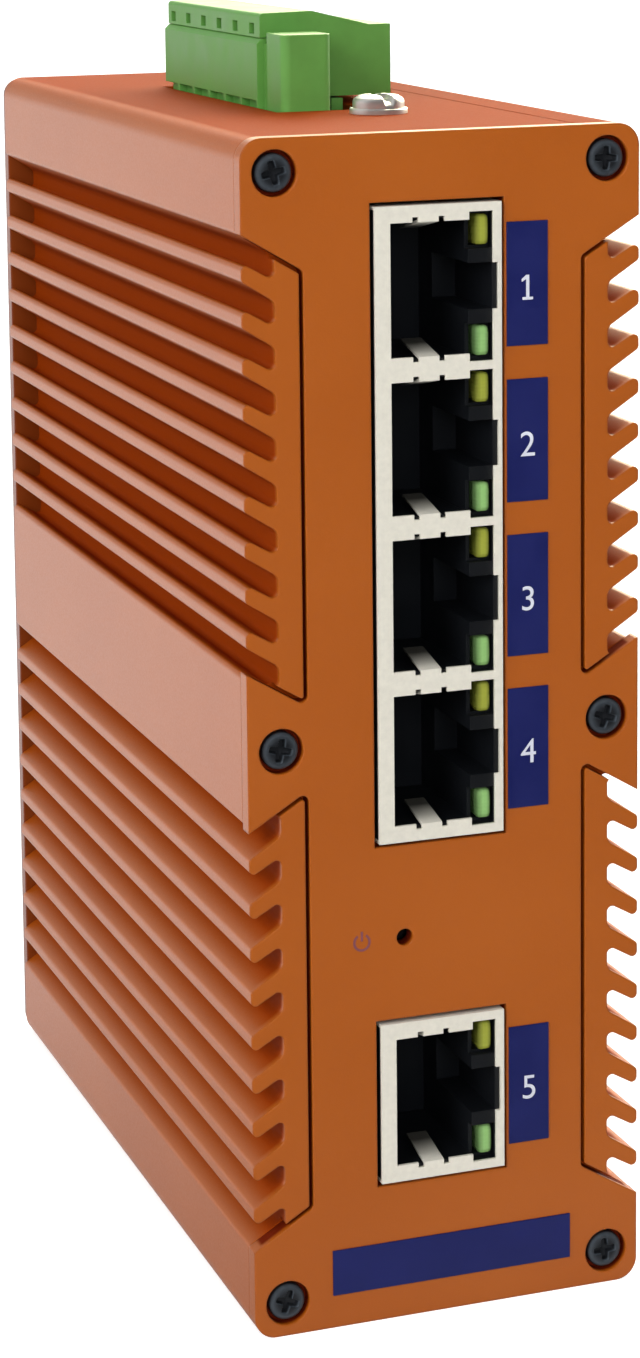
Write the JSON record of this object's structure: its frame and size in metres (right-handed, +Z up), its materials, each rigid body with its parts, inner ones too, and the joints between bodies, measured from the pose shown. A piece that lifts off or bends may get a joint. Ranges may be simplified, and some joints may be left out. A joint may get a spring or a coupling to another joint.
{
  "type": "din rail ethernet switch",
  "caption": "Compact network switch in a finned metal case with stacked shielded sockets, a plug-in power terminal on top and a spring clip for a DIN rail.",
  "frame": {"origin": "middle of the case's width and depth on its flat underside", "axes": "+X to the right of the front plate, +Y from the front plate to the rail clip, +Z up along the case's height"},
  "size_m": [0.0372, 0.0913, 0.1164],
  "materials": {
    "case_orange": "fine satin orange anodised",
    "screw_black": "black oxide",
    "label_blue": "printed foil",
    "board_green": "solder mask",
    "chip_black": "moulded",
    "ferrite": "pressed powder",
    "can_aluminium": "bright sleeve",
    "plated_steel": "nickel plated",
    "jack_shield": "tinned sheet",
    "jack_black": "moulded",
    "contact_gold": "gold flash",
    "lamp_yellow": "tinted light guide",
    "lamp_green": "tinted light guide",
    "lamp_clear": "tinted resin",
    "pin_tinned": "tinned",
    "terminal_green": "moulded",
    "clip_aluminium": "plain, tumbled",
    "spring_steel": "drawn wire"
  },
  "bodies": {
    "case": {"main_channel": "case_orange", "side_panel": "case_orange", "front_plate": "case_orange", "rear_cover": "case_orange", "front_screws": "screw_black", "rear_screws": "screw_black", "port_labels": "label_blue", "name_plate": "label_blue", "main_board": "board_green", "switch_chip": "chip_black", "power_inductor": "ferrite", "capacitors": "can_aluminium", "crystal": "plated_steel", "jack_block_shell": "jack_shield", "jack_block_body": "jack_black", "jack_block_contacts": "contact_gold", "jack_single_shell": "jack_shield", "jack_single_body": "jack_black", "jack_single_contacts": "contact_gold", "yellow_lamps": "lamp_yellow", "green_lamps": "lamp_green", "power_lamp": "lamp_clear", "terminal_pins": "pin_tinned", "terminal_header": "terminal_green", "ground_washer": "plated_steel", "ground_screw": "plated_steel", "din_clip": "clip_aluminium", "din_spring": "spring_steel", "din_screws": "plated_steel"},
    "plug": {"terminal_plug": "terminal_green", "terminal_clamps": "plated_steel", "terminal_screws": "plated_steel"},
    "latch": {"din_latch": "clip_aluminium"}
  },
  "joints": [
    {"name": "plug_slide", "type": "slide", "parent": "case", "child": "plug", "axis": [0, 0, 1], "range_m": [0, 0.012]},
    {"name": "latch_slide", "type": "slide", "parent": "case", "child": "latch", "axis": [0, 0, -1], "range_m": [0, 0.004], "stiffness_N_per_m": 2000, "springref_m": -0.003, "deforming": ["din_spring"]}
  ]
}
